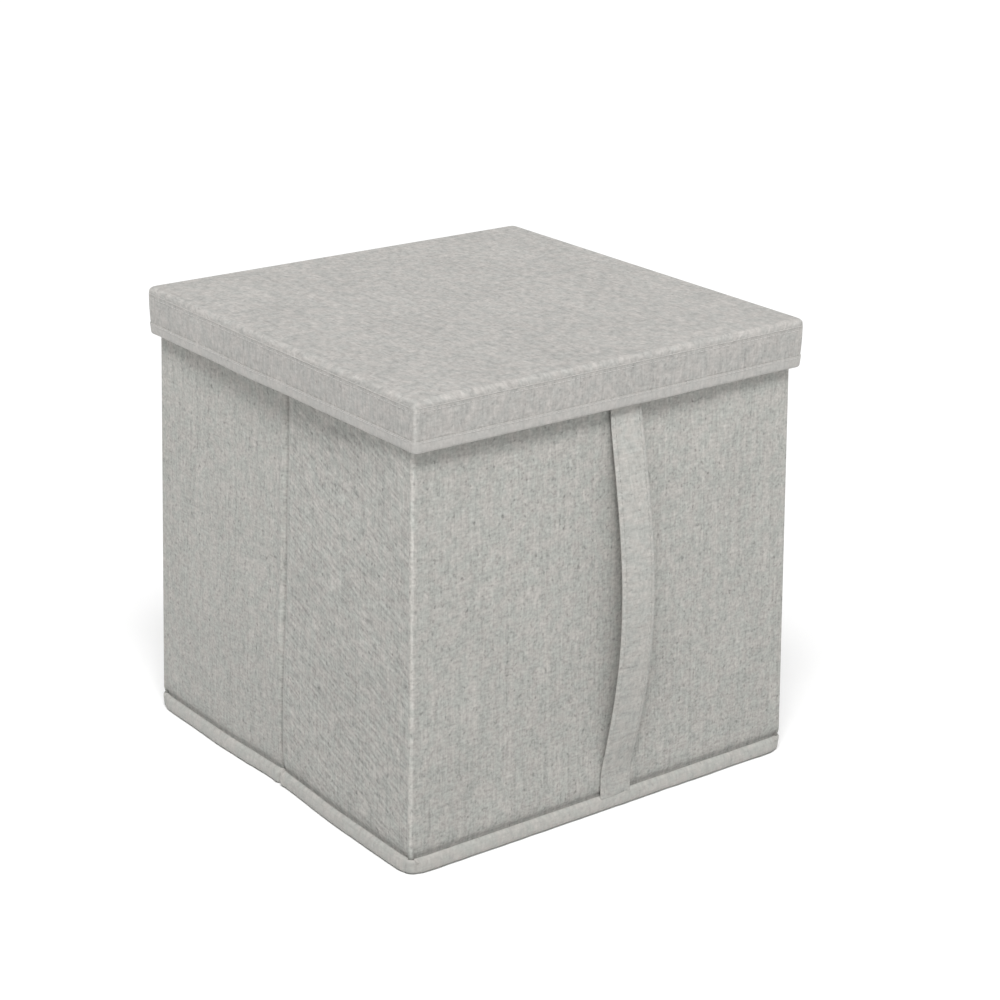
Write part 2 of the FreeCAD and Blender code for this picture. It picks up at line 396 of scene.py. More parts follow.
class Shader:
    """A node material under construction."""

    def __init__(self, name):
        self.material = bpy.data.materials.new(name)
        self.material.use_nodes = True
        self.tree = self.material.node_tree
        self.surface = self.tree.nodes["Principled BSDF"]

    def add(self, kind, inputs=(), **settings):
        """A node with its settings and inputs: an input is a value, or another node's output."""
        node = self.tree.nodes.new(kind)
        for key, value in settings.items():
            setattr(node, key, value)
        for key, value in dict(inputs).items():
            if isinstance(value, bpy.types.NodeSocket):
                self.tree.links.new(value, node.inputs[key])
            else:
                node.inputs[key].default_value = value
        return node

    def math(self, operation, a, b=0.0):
        """One sum: an operation with only one input leaves b out."""
        return self.add("ShaderNodeMath", {0: a, 1: b}, operation=operation).outputs[0]

    def weave(self, scale, turn=0.0):
        """The cloth's own coordinates, scaled along its two threads."""
        flat = self.add("ShaderNodeUVMap", uv_map="weave").outputs["UV"]
        if turn:
            flat = self.add("ShaderNodeMapping", {"Vector": flat, "Rotation": (0, 0, turn)}).outputs[0]
        return self.add("ShaderNodeMapping", {"Vector": flat, "Scale": (*scale, 1.0)}).outputs[0]

    def noise(self, vector, scale=1.0, detail=2.0, roughness=0.5, distortion=0.0):
        """Noise from 0 to 1, mostly near a half."""
        inputs = {"Vector": vector, "Scale": scale, "Detail": detail, "Roughness": roughness,
                  "Distortion": distortion}
        return self.add("ShaderNodeTexNoise", inputs).outputs["Fac"]

    def band(self, value, low, high):
        """0 below low, 1 above high."""
        inputs = {"Value": value, "From Min": low, "From Max": high}
        return self.add("ShaderNodeMapRange", inputs, interpolation_type="SMOOTHSTEP").outputs[0]

    def split(self, vector):
        """A vector's first two coordinates."""
        parts = self.add("ShaderNodeSeparateXYZ", {"Vector": vector})
        return parts.outputs[0], parts.outputs[1]

    def blend(self, share, a, b):
        """The colour a where share is 0, and b where it is 1."""
        node = self.add("ShaderNodeMix", {"Factor": share}, data_type="RGBA")
        for key, value in ((6, a), (7, b)):
            if isinstance(value, bpy.types.NodeSocket):
                self.tree.links.new(value, node.inputs[key])
            else:
                node.inputs[key].default_value = (*value, 1.0)
        return node.outputs[2]

    def scaled(self, colour, brightness):
        """A colour times a brightness."""
        grey = self.add("ShaderNodeCombineColor", {0: brightness, 1: brightness, 2: brightness}).outputs[0]
        node = self.add("ShaderNodeMix", {"Factor": 1.0, 6: colour, 7: grey}, data_type="RGBA",
                        blend_type="MULTIPLY")
        return node.outputs[2]

    def finish(self, colour, height, depth, roughness, sheen=0.0, specular=0.25):
        """Sets the surface: the height, from 0 to 1, stands up by depth metres."""
        bump = self.add("ShaderNodeBump", {"Height": height, "Strength": 1.0, "Distance": depth})
        for key, value in (("Base Color", colour), ("Normal", bump.outputs[0]), ("Roughness", roughness)):
            self.tree.links.new(value, self.surface.inputs[key])
        self.surface.inputs["Specular IOR Level"].default_value = specular
        self.surface.inputs["Sheen Weight"].default_value = sheen
        self.surface.inputs["Sheen Roughness"].default_value = 0.6
        return self.material


THREAD_DEPTH = 0.35 * MM  # how far the threads of the coarse cloth stand up
FINE_DEPTH = 0.2 * MM  # and those of the tapes, hems and lining
CLOTH_SHEEN = 0.12


def melange_parts(name, cool, warm, speckle=1.0, mottled=1.0, slub=1.0, twill=0.0):
    """Fine uneven threads both ways, dark flecks, long light slubs and soft patches of two tints.
    twill adds slanting ribs."""
    s = Shader(name)
    grain = s.noise(s.weave((1, 1)), 520, 2, 0.55)
    mottle = s.noise(s.weave((1, 0.8)), 260, 2, 0.6)
    warp = s.noise(s.weave((820, 120)), 1, 1, 0.5, 0.4)
    weft = s.noise(s.weave((150, 760)), 1, 1, 0.5, 0.4)
    streaks = s.noise(s.weave((400, 14)), 1, 1, 0.5, 0.3)
    flecks = s.band(s.noise(s.weave((1, 0.7)), 340, 1.0, 0.5), 0.62, 0.76)
    patches = s.noise(s.weave((1, 0.8)), 110, 2, 0.6)
    clouds = s.noise(s.weave((1, 0.8)), 22, 3, 0.5)
    tint = s.blend(s.band(patches, 0.36, 0.64), cool, warm)
    terms = [(grain, 0.80 * speckle), (mottle, 0.50 * mottled), (warp, 0.36 * speckle),
             (weft, 0.24 * speckle), (streaks, 0.30 * slub), (patches, 0.20 * mottled),
             (clouds, 0.16 * mottled), (flecks, -0.26 * speckle)]
    if twill:
        ribs = s.noise(s.weave((75, 430), math.radians(20)), 1, 1, 0.5, 0.2)
        terms.append((ribs, twill))
    # Noise is a half on average, so this keeps the mean brightness at 1. The few flecks only darken.
    brightness = 1 - sum(0.5 * weight for value, weight in terms if value is not flecks)
    for value, weight in terms:
        brightness = s.math("ADD", brightness, s.math("MULTIPLY", value, weight))
    colour = s.scaled(tint, brightness)
    height = s.math("ADD", s.math("MULTIPLY", warp, 0.4), s.math("MULTIPLY", weft, 0.35))
    height = s.math("ADD", height, s.math("MULTIPLY", grain, 0.45))
    height = s.math("SUBTRACT", height, s.math("MULTIPLY", flecks, 0.35))
    roughness = s.math("ADD", 0.78, s.math("MULTIPLY", grain, 0.25))
    return s, colour, height, roughness


def melange(name, cool, warm, speckle=1.0, mottled=1.0, slub=1.0, depth=THREAD_DEPTH):
    """Melange linen-look cloth, the same all over."""
    s, colour, height, roughness = melange_parts(name, cool, warm, speckle, mottled, slub)
    return s.finish(colour, height, depth, roughness, CLOTH_SHEEN)


def line_at(s, along, period, low, high):
    """1 in a thin line in the middle of every period along the cloth, and 0 beyond high from that middle."""
    whole_turns = 20.0  # keeps lengths before the start above 0
    turns = s.math("FRACT", s.math("ADD", s.math("DIVIDE", along, period), whole_turns))
    away = s.math("MULTIPLY", s.math("ABSOLUTE", s.math("SUBTRACT", turns, 0.5)), period)
    return s.math("SUBTRACT", 1.0, s.band(away, low, high))


def wall_linen(name, twill=0.0):
    """The walls' cloth: painted highlights on the corner folds, painted shade in the creases, at the base seam
    and low down.
    """
    s, colour, height, roughness = melange_parts(name, WALL_COOL, WALL_WARM, twill=twill)
    along, up = s.split(s.weave((1, 1)))
    # painted highlight: a pale line along each corner fold of the walls
    painted_fold_highlight = s.math("MULTIPLY", line_at(s, along, QUARTER, 0.5 * MM, 1.3 * MM), 0.16)
    # painted shade: a dark line down each side wall's crease
    crease = s.math("MULTIPLY", line_at(s, along, 2 * QUARTER, 0.3 * MM, 1.3 * MM), -0.16)
    # painted shadow at the tape's top edge, and painted shade fading out up to 22 mm above it
    painted_seam_shadow = s.math("MULTIPLY", s.band(up, 9.5 * MM, 12 * MM), 0.17)
    shade = s.math("MULTIPLY", s.band(up, 10 * MM, 22 * MM), 0.10)
    # painted shade: the walls grow darker towards the floor
    slope = s.math("MULTIPLY", s.band(up, 0.0, 260 * MM), 0.13)
    darkest = 0.61
    level = s.math("ADD", darkest, s.math("ADD", painted_fold_highlight, crease))
    level = s.math("ADD", level, s.math("ADD", painted_seam_shadow, shade))
    shaded = s.scaled(colour, s.math("ADD", level, slope))
    return s.finish(shaded, height, THREAD_DEPTH, roughness, CLOTH_SHEEN)


def skirt_linen(name):
    """The cloth of the lid's skirt: painted highlights on the folds at its corners, and painted shade over the
    rest.
    """
    s, colour, height, roughness = melange_parts(name, LID_COOL, LID_WARM, 0.7, 1.1, 0.5)
    along, _ = s.split(s.weave((1, 1)))
    # painted highlight: a pale line along each corner fold of the skirt
    painted_fold_highlight = s.math("MULTIPLY", line_at(s, along, LID_QUARTER, 0.5 * MM, 1.4 * MM), 0.14)
    # painted shade: the upright skirt is the lid top's cloth made 3% darker
    shaded = s.scaled(colour, s.math("ADD", 0.97, painted_fold_highlight))
    return s.finish(shaded, height, THREAD_DEPTH, roughness, CLOTH_SHEEN)


def strap_linen(name):
    """The strap's cloth, with painted shade that darkens it towards its foot, where it faces down."""
    s, colour, height, roughness = melange_parts(name, STRAP_COOL, STRAP_WARM, 0.7, 1.0, 0.6)
    along, _ = s.split(s.weave((1, 1)))
    # painted shade: darker towards the foot, up to 260 mm along the strap
    slope = s.math("MULTIPLY", s.band(along, 0.0, 260 * MM), 0.16)
    shaded = s.scaled(colour, s.math("ADD", 0.84, slope))
    return s.finish(shaded, height, THREAD_DEPTH, roughness, CLOTH_SHEEN)


def nonwoven(name, tint):
    """Thin bonded lining: flat fibres pressed with a grid of small points."""
    s = Shader(name)
    fibres = s.noise(s.weave((420, 160)), 1, 3, 0.6, 1.2)
    cells = s.add("ShaderNodeTexVoronoi", {"Vector": s.weave((1, 1)), "Scale": 620, "Randomness": 0.15})
    points = s.band(cells.outputs["Distance"], 0.18, 0.42)
    clouds = s.noise(s.weave((1, 1)), 24, 2, 0.5)
    brightness = s.math("ADD", 0.82, s.math("MULTIPLY", fibres, 0.18))
    brightness = s.math("ADD", brightness, s.math("MULTIPLY", points, 0.05))
    brightness = s.math("ADD", brightness, s.math("MULTIPLY", clouds, 0.10))
    colour = s.scaled(s.blend(fibres, tint, [1.06 * c for c in tint]), brightness)
    height = s.math("ADD", s.math("MULTIPLY", fibres, 0.4), s.math("MULTIPLY", points, 0.6))
    return s.finish(colour, height, FINE_DEPTH, s.math("ADD", 0.72, s.math("MULTIPLY", fibres, 0.2)))


def thread(name, tint):
    """Sewing thread: a fine twist along each stitch."""
    s = Shader(name)
    twist = s.noise(s.weave((900, 900), math.radians(35)), 1, 1, 0.5)
    tints = s.blend(twist, [0.9 * c for c in tint], tint)
    colour = s.scaled(tints, s.math("ADD", 0.85, s.math("MULTIPLY", twist, 0.3)))
    roughness = s.math("ADD", 0.55, s.math("MULTIPLY", twist, 0.2))
    return s.finish(colour, twist, 0.08 * MM, roughness, sheen=0.1)


def greyboard(name, tint):
    """Recycled board: long pressed fibres and dark specks. It reads the solid's own coordinates."""
    s = Shader(name)
    place = s.add("ShaderNodeTexCoord").outputs["Object"]
    fibres = s.noise(place, 260, 4, 0.65, 1.0)
    specks = s.band(s.noise(place, 900, 1, 0.5), 0.66, 0.74)
    brightness = s.math("ADD", 0.8, s.math("MULTIPLY", fibres, 0.4))
    brightness = s.math("SUBTRACT", brightness, s.math("MULTIPLY", specks, 0.35))
    colour = s.scaled(s.blend(fibres, tint, [1.1 * c for c in tint]), brightness)
    return s.finish(colour, fibres, 0.1 * MM, s.math("ADD", 0.8, s.math("MULTIPLY", fibres, 0.15)))


WALL_COOL, WALL_WARM = (0.388, 0.393, 0.368), (0.408, 0.395, 0.371)
# painted light: the lid's cloth, top and skirt, is painted lighter than the walls' cloth
LID_COOL, LID_WARM = (0.416, 0.411, 0.392), (0.436, 0.419, 0.398)
# painted highlight: the skirt's hem is painted lighter, for the light its proud edge catches
HEM_COOL, HEM_WARM = (0.446, 0.440, 0.420), (0.464, 0.448, 0.426)
TAPE_COOL, TAPE_WARM = (0.366, 0.369, 0.347), (0.384, 0.371, 0.349)
STRAP_COOL, STRAP_WARM = (0.420, 0.422, 0.398), (0.438, 0.424, 0.398)

MATERIALS = {
    "wall": wall_linen("wall_linen"),
    "twill": wall_linen("wall_linen_ribbed", twill=0.75),
    "plain": melange("plain_linen", WALL_COOL, WALL_WARM),
    "lid": melange("lid_linen", LID_COOL, LID_WARM, speckle=0.55, mottled=1.4, slub=0.5),
    "hem": melange("hem_linen", HEM_COOL, HEM_WARM, speckle=0.4, mottled=0.6, slub=0.3, depth=FINE_DEPTH),
    "tape": melange("tape_linen", TAPE_COOL, TAPE_WARM, speckle=0.5, mottled=0.7, slub=0.3, depth=FINE_DEPTH),
    "strap": strap_linen("strap_linen"),
    "skirt": skirt_linen("skirt_linen"),
    "lining": nonwoven("lining_nonwoven", (0.43, 0.425, 0.405)),
    "thread": thread("sewing_thread", (0.56, 0.55, 0.53)),
    "board": greyboard("greyboard", (0.32, 0.27, 0.21)),
}


def dress(piece, material):
    """Gives a piece its material."""
    piece.data.materials.clear()
    piece.data.materials.append(MATERIALS[material])
    return piece


# ---------------------------------------------------------------- the walls

# start and end are lengths round the outline. strip is where the cloth bends, from the wall it comes from.
Wall = namedtuple("Wall", "name side start end body bends_from strip")
RIGHT, LEFT = QUARTER, 3 * QUARTER
REAR_BEND = 1.9 * MM  # the cloth that bends at the rear left corner: it ends before the back wall's lining

WALLS = (
    Wall("front", 0, STRAIGHT - RIGHT, RIGHT - STRAIGHT, "front_wall", None, None),
    Wall("right_front", 1, RIGHT - STRAIGHT, RIGHT - CREASE,
         "right_front_wall", "front_wall", (RIGHT - STRAIGHT, RIGHT - HINGE)),
    Wall("right_rear", 1, RIGHT - CREASE, RIGHT + STRAIGHT,
         "right_rear_wall", "right_front_wall", (RIGHT - CREASE, RIGHT + CREASE)),
    Wall("back", 2, RIGHT + STRAIGHT, LEFT - HINGE,
         "back_wall", "left_rear_wall", (LEFT - HINGE, LEFT - HINGE - REAR_BEND)),
    Wall("left_rear", 3, LEFT - HINGE, LEFT + CREASE,
         "left_rear_wall", "left_front_wall", (LEFT + CREASE, LEFT - CREASE)),
    Wall("left_front", 3, LEFT + CREASE, LEFT + STRAIGHT,
         "left_front_wall", "front_wall", (LEFT + STRAIGHT, LEFT + HINGE)),
)
WALL_STEP = 6 * MM
CREASE_STEPS = [(middle, 10 * MM, 0.8 * MM) for middle in (RIGHT, LEFT)]  # closer stations at the creases


def attach(piece, wall):
    """A wall's cloth rides its wall when no strip crosses to it from the wall before it; otherwise its place
    is baked into its mesh.
    """
    if wall.bends_from is None:
        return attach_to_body(piece, wall.body)
    low, high = (on_wall(wall.strip[0], 0, z) for z in (SEAT, RIM))
    width = on_wall(wall.strip[1], 0, RIM)[1] - high[1]
    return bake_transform(piece)


def wall_stations(wall, step=WALL_STEP):
    """Stations round a wall, closer at its corners, its crease and its boards' edges."""
    edges = [k * QUARTER + side * BOARD_EDGE for k in range(-1, 4) for side in (-1, 1)]
    fine = [(edge, 4 * MM, 0.8 * MM) for edge in edges]
    return round_corners(wall.start, wall.end, step, HALF, CORNER, *CREASE_STEPS, *fine)


def make_layer(wall, name, outer, inner, material, node):
    """One cloth of a wall, between two distances out from the outline."""
    heights = steps(SEAT, RIM_LOW + 1 * MM, WALL_STEP, (SEAM_HEIGHT, 8 * MM, 0.7 * MM))
    section = layer_section(outer, inner, heights)
    piece = dress(sweep(f"{wall.name}_{name}", wall_stations(wall), section, on_wall), material)
    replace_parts(piece, f"{wall.name}_{node}")
    return attach(piece, wall)


def make_rim(wall):
    """The hem over the rim, and its stitches."""
    section = folded_section(RIM, RIM_LOW - RIM, 0.25 * MM, -WALL - 0.25 * MM, CLOTH)
    hem = sweep(f"{wall.name}_rim", wall_stations(wall, 12 * MM), section, on_wall)
    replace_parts(dress(hem, "plain"), f"{wall.name}_rim_hem")
    ends = seam(wall.start, wall.end, 0.32 * MM, RIM_LOW + 2 * MM, on_wall)
    threads = dress(stitch_row(f"{wall.name}_rim_stitches", ends), "thread")
    return attach(hem, wall), attach(threads, wall)


def tape_section():
    """The base tape: a rounded roll of doubled cloth that stands proud of the wall."""
    top, out = TAPE_TOP, TAPE_ROLL
    outer = [(-0.3, 0.93), (0.1, 1.0), (0.42, 1.02), (0.72, 0.95), (0.92, 0.80), (1.0, 0.60), (0.99, 0.42),
             (0.92, 0.24), (0.74, 0.09), (0.42, 0.02), (0.05, 0.005)]
    back = [(-0.4, 0.9 - 0.09 * i) for i in range(len(outer))][::-1]
    return [(out * a, top * b) for a, b in outer + back]


def on_tape(u, out, z):
    """A point of the base tape, which puckers a little along its seam and breaks at the creases."""
    nearest = min(abs(u - RIGHT), abs(u - LEFT))
    pucker = 0.22 * MM * swell(u, 0, 4.0, 9 * MM) + 0.3 * MM * swell(u, 0, 6.0, 31 * MM)
    lift = 0.9 * MM * hump(nearest, 4.0 * MM, 2.4 * MM)
    notch = 1.5 * MM * hump(nearest, 0, 1.3 * MM)
    share = max(0.0, out / TAPE_ROLL)
    return on_wall(u, out + share * (pucker + 0.7 * lift - notch), z + (pucker + lift) * 0.35 * z / TAPE_TOP)


def make_tape(wall):
    """The tape round the base, and its stitches."""
    stations = round_corners(wall.start, wall.end, 2.5 * MM, HALF, CORNER, *CREASE_STEPS)
    tape = sweep(f"{wall.name}_tape", stations, tape_section(), on_tape)
    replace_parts(dress(tape, "tape"), f"{wall.name}_base_tape")
    ends = seam(wall.start, wall.end, 0.9 * TAPE_ROLL, TAPE_TOP * 0.8, on_tape)
    threads = dress(stitch_row(f"{wall.name}_tape_stitches", ends, 0.22 * MM), "tape")
    return attach(tape, wall), attach(threads, wall)


def make_board(wall):
    """The board between a wall's cloths, bowed with them."""
    low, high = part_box(f"{wall.name}_board")
    axis = wall.side % 2
    start, end = max(low[axis], -STRAIGHT), min(high[axis], STRAIGHT)
    if wall.side in (2, 3):
        start, end = -end, -start
    heights = steps(low.z, RIM - WALL / 2, 20 * MM, (SEAM_HEIGHT, 6 * MM, 1.5 * MM))
    section = layer_section(-CLOTH - AIR, LINING - WALL + AIR, heights)
    stations = steps(start, end, 20 * MM, (0, 14 * MM, 1 * MM))
    piece = sweep(f"{wall.name}_greyboard", stations, section, on_side(wall.side))
    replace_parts(dress(piece, "board"), f"{wall.name}_board")
    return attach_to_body(piece, wall.body)


def make_wall(wall):
    """One wall: its cloths, its board, its rim hem and its stretch of the base tape."""
    outside = "twill" if wall.name == "left_front" else "wall"
    cover = make_layer(wall, "cloth", 0.0, -CLOTH, outside, "cover")
    lining = make_layer(wall, "lining_cloth", LINING - WALL, -WALL, "lining", "lining")
    rim = make_rim(wall)
    tape = make_tape(wall)
    make_board(wall)


# ---------------------------------------------------------------- the base and its insert

INSERT_PLAY = 1.5 * MM  # how far the insert's soft edge stops short of its outline in the frame
INSERT_EDGE, INSERT_CORNER = 1.4 * MM, 4 * MM  # radii of its top cloth
INSERT_SEAM = 7 * MM  # its stitches, in from its edge


def on_base(x, y, layer):
    """The sewn-in base cloth, between the walls' lower edges."""
    ripple = 0.12 * MM * swell(x, y, 2.0, 40 * MM)
    level = 0.12 * MM if layer else CLOTH + 0.12 * MM + ripple
    x, y, _ = spread((x, y, 0))
    return x, y, level


def make_base():
    """The base cloth, which stops inside the tape's round corners."""
    reach = HALF - CORNER
    side = steps(-reach, reach, 7 * MM)
    piece = dress(plate("base_panel", side, side, on_base), "plain")
    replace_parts(piece, "base_cloth")
    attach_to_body(piece, "front_wall")
    fold_flat(piece)


def fold_flat(piece):
    """Gives the piece its own copy of its mesh."""
    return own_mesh(piece)


def tray(half, top, depth, edge, corner, thick):
    """Places a square sheet flat on top of something, with its border turned down over rounded edges."""
    def place(x, y, layer):
        reach = max(abs(x), abs(y))
        radius = edge - thick * layer
        flat = half - edge
        over = reach - flat
        arc = edge * math.pi / 2
        if over <= 0:
            out, z = reach, top - thick * layer
        elif over <= arc:
            out = flat + radius * math.sin(over / edge)
            z = top - edge + radius * math.cos(over / edge)
        else:
            out, z = flat + radius, top - edge - (over - arc)
        z = max(z, top - depth)
        share = out / reach if reach else 1.0
        x, y = x * share, y * share
        inner = out - corner
        past_x, past_y = abs(x) - inner, abs(y) - inner
        if past_x > 0 and past_y > 0 and inner > 0:
            pull = max(past_x, past_y) / math.hypot(past_x, past_y)
            x = math.copysign(inner + past_x * pull, x)
            y = math.copysign(inner + past_y * pull, y)
        return x, y, z
    return place


def tray_steps(half, depth, edge, step):
    """Grid lines for a tray, closer where it turns down."""
    reach = half - edge + edge * math.pi / 2 + depth - edge
    bend = half - edge + edge * math.pi / 4
    return steps(-reach, reach, step, (bend, edge, edge / 4), (-bend, edge, edge / 4))


def make_insert():
    """The loose base board: a board between an upper cloth turned over its edges and a plain under cloth."""
    low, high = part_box("insert_top_cloth")
    half, depth = high.x - INSERT_PLAY, high.z - low.z
    plain = tray(half, high.z, depth, INSERT_EDGE, INSERT_CORNER, CLOTH)

    def on_top(x, y, layer):
        px, py, z = plain(x, y, layer)
        away = 1 - ease(max(abs(px), abs(py)), 0.75 * half, 0.98 * half)
        return px, py, z + 0.35 * MM * swell(x, y, 12.0, 70 * MM) * away

    lines = tray_steps(half, depth, INSERT_EDGE, 7 * MM)
    top = dress(plate("insert_top", lines, lines, on_top), "plain")
    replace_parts(top, "insert_top_cloth")
    board = dress(flat_sheet("insert_greyboard", "insert_board", 20 * MM), "board")
    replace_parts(board, "insert_board")
    under = dress(flat_sheet("insert_under", "insert_under_cloth", 9 * MM), "lining")
    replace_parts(under, "insert_under_cloth")

    inset = half - INSERT_SEAM
    lift = 0.1 * MM
    ends = []
    for turn in range(4):
        for stitch in dashes(-inset, inset):
            lying = [on_top(t, -inset, 0) for t in stitch]
            ends.append([(*quarter_turned(x, y, turn), z + lift) for x, y, z in lying])
    threads = dress(stitch_row("insert_stitches", ends), "thread")
    for piece in (top, board, under, threads):
        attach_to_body(piece, "base_insert")
        fold_flat(piece)


def flat_sheet(name, node, step):
    """A plain flat layer of the insert, a little smaller than its node of the frame."""
    low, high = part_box(node)
    side = steps(low.x + INSERT_PLAY, high.x - INSERT_PLAY, step)
    levels = (high.z - AIR, low.z + AIR)
    return plate(name, side, side, lambda x, y, layer: (x, y, levels[layer]))


# ---------------------------------------------------------------- the strap

GRIP_LOW, GRIP_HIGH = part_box("strap_grip")
STRAP_HALF = (GRIP_HIGH.x - GRIP_LOW.x) / 2
STRAP_X = (GRIP_HIGH.x + GRIP_LOW.x) / 2
STRAP_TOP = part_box("strap_top_tab")[1].z
STRAP_LEAVES = SKIRT_LOW + 4 * MM  # where it leaves the wall, under the lid's skirt
STRAP_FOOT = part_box("strap_foot_tab")[0].z
STRAP_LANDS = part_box("strap_foot_tab")[1].z  # where it lies on the wall again
STRAP_SETTLES = 30 * MM  # the stretch next to each sewn end in which it flattens out
STRAP_TUCK = 1.3 * MM  # how far its foot goes down behind the base tape
STRAP_SEAM = 0.78 * STRAP_HALF  # its stitches, from its middle
STRAP_THICK = 1.5 * MM
STRAP_BOW = -GRIP_LOW.y - HALF - STRAP_THICK  # how far the strap hangs out from the wall, at most
STRAP_SHIFT = 0.3 * MM  # how far its upper end is sewn off the middle
STRAP_SLANT = 3.0 * MM  # how far its lower end is sewn to the side of its upper end
STRAP_SWAY = 3.4 * MM  # how far its middle hangs to the side


def strap_line(z):
    """The middle of the strap at a height: across the wall, and out from it."""
    share = min(max((STRAP_LEAVES - z) / (STRAP_LEAVES - STRAP_LANDS), 0.0), 1.0)
    arch = math.sin(math.pi * share ** 1.15)
    lift = arch * ease(arch, -0.2, 0.3)
    x = STRAP_X + STRAP_SHIFT - STRAP_SLANT * share + STRAP_SWAY * arch
    return x, HALF + STRAP_THICK / 2 + 0.1 * MM + STRAP_BOW * lift


def on_strap(z, across, off):
    """A point of the strap: across its width, and off its middle plane, outwards."""
    x, out = strap_line(z)
    nudge = 0.5 * MM
    slope = (strap_line(z + nudge)[1] - strap_line(z - nudge)[1]) / (2 * nudge)
    size = math.hypot(1, slope)
    off_foot = ease(z, STRAP_LANDS, STRAP_LANDS + STRAP_SETTLES)
    free = off_foot * (1 - ease(z, STRAP_LEAVES - STRAP_SETTLES, STRAP_LEAVES))
    shift = spread((x, -HALF, z))[1] + HALF
    cup = 0.5 * MM * (across / STRAP_HALF) ** 2 * free
    twist = 1.0 * MM * (across / STRAP_HALF) * math.sin(math.pi * (z - STRAP_FOOT) / STRAP_TOP) * free
    return x + across, shift - out - (off - cup + twist) / size, z - off * slope / size


def strap_section():
    """Doubled cloth with its two long edges turned in, so they stand a little thicker than the middle."""
    half, thick = STRAP_HALF, STRAP_THICK / 2
    across = [-1.0, -0.97, -0.9, -0.8, -0.72, -0.4, 0.0, 0.4, 0.72, 0.8, 0.9, 0.97, 1.0]
    swollen = [0.25, 0.8, 1.0, 1.0, 0.82, 0.78, 0.78, 0.78, 0.82, 1.0, 1.0, 0.8, 0.25]
    front = [(a * half, s * thick) for a, s in zip(across, swollen)]
    return front + [(a, -s) for a, s in reversed(front)]


def make_strap():
    """The strap with its two sewn-down ends, the stitches along its edges and a crossed box at its top."""
    heights = steps(TAPE_TOP - STRAP_TUCK, STRAP_TOP, 3 * MM)
    strap = dress(sweep("carry_strap", heights, strap_section(), on_strap), "strap")
    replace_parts(strap, "strap_grip", "strap_upper", "strap_lower", "strap_top_tab", "strap_foot_tab")
    face, raised = 0.5 * STRAP_THICK, 0.52 * STRAP_THICK
    ends = [tuple(on_strap(z, side * STRAP_SEAM, raised) for z in stitch)
            for side in (-1, 1) for stitch in dashes(TAPE_TOP + 1 * MM, STRAP_TOP - 2 * MM)]
    box_low, box_high = STRAP_LEAVES + 4 * MM, STRAP_TOP - 5 * MM
    for z in (box_low, box_high):
        ends += [tuple(on_strap(z, t, face) for t in stitch)
                 for stitch in dashes(-STRAP_SEAM, STRAP_SEAM, 3 * MM)]
    middle, steep = (box_low + box_high) / 2, (box_high - box_low) / (2 * STRAP_SEAM)
    for rise in (-steep, steep):
        for stitch in dashes(-STRAP_SEAM, STRAP_SEAM, 2.4 * MM, 0.7 * MM):
            ends.append(tuple(on_strap(middle + rise * t, t, face) for t in stitch))
    threads = dress(stitch_row("strap_stitches", ends, 0.24 * MM), "strap")
    start, end = (STRAP_X, -HALF - 1.6 * MM, 0), (STRAP_X, -HALF - 15 * MM, 0)
    for piece in (strap, threads):
        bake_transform(piece)
        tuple(start)
        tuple(end)


# ---------------------------------------------------------------- the lid

LID_RETURN = 2 * MM  # how far the front's and back's cloth turns the corner
SKIRT_TOP = LID_TOP - TOP_EDGE - 1.4 * MM  # the seam between the skirt and the top
HEM_PROUD = 0.55 * MM  # how far the skirt's hem stands out from its cloth
LID_WIDE, LID_NARROW = LID_QUARTER - LID_STRAIGHT + LID_RETURN, LID_STRAIGHT - LID_RETURN
LID_SIDES = tuple((name, side, side * LID_QUARTER - reach, side * LID_QUARTER + reach)
                  for side, (name, reach) in enumerate((("front", LID_WIDE), ("right", LID_NARROW),
                                                        ("back", LID_WIDE), ("left", LID_NARROW))))


def lid_stations(start, end):
    """Stations round the lid's skirt."""
    return round_corners(start, end, WALL_STEP, LID_HALF, LID_CORNER)


def make_skirt(name, side, start, end):
    """One side of the lid's skirt: cloth, board, lining and the hem folded over their lower edge."""
    stations = lid_stations(start, end)
    heights = steps(SKIRT_HEM - 1 * MM, SKIRT_TOP, 3 * MM, (SKIRT_TOP, 2 * MM, 0.5 * MM))
    section = layer_section(0.0, -CLOTH, heights)
    cover = dress(sweep(f"lid_{name}_cloth", stations, section, on_skirt), "skirt")
    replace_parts(cover, f"lid_{name}_cover")

    inner = layer_section(SKIRT_LINING - SKIRT, -SKIRT, heights)
    lining = sweep(f"lid_{name}_lining_cloth", stations, inner, on_skirt)
    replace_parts(dress(lining, "lining"), f"lid_{name}_lining")

    low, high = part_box(f"lid_{name}_board")
    axis = side % 2
    board_heights = steps(SKIRT_LOW + SKIRT / 2, high.z - 2 * MM, 6 * MM)
    board_section = layer_section(-CLOTH - AIR, SKIRT_LINING - SKIRT + AIR, board_heights)
    middle = side * LID_QUARTER
    board_stations = steps(middle + low[axis], middle + high[axis], 12 * MM)
    board = sweep(f"lid_{name}_greyboard", board_stations, board_section, on_skirt)
    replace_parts(dress(board, "board"), f"lid_{name}_board")

    fold = folded_section(SKIRT_LOW, SKIRT_HEM - SKIRT_LOW, HEM_PROUD, -SKIRT - 0.2 * MM, CLOTH)
    hem = dress(sweep(f"lid_{name}_edge", stations, fold, on_skirt), "hem")
    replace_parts(hem, f"lid_{name}_hem")
    ends = seam(start, end, HEM_PROUD + AIR, SKIRT_HEM - 1.1 * MM, on_skirt)
    ends += seam(start, end, 0.02 * MM, SKIRT_TOP - 2.4 * MM, on_skirt)
    cord_ends = [tuple(on_skirt(u, -0.1 * MM, SKIRT_TOP) for u in link)
                 for link in dashes(start, end, 3 * MM, 0.0)]
    cord = dress(stitch_row(f"lid_{name}_cord", cord_ends, 0.42 * MM), "hem")
    threads = dress(stitch_row(f"lid_{name}_stitches", ends, 0.22 * MM), "thread")

    for piece in (cover, lining, board, hem, cord, threads):
        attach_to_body(piece, "lid")


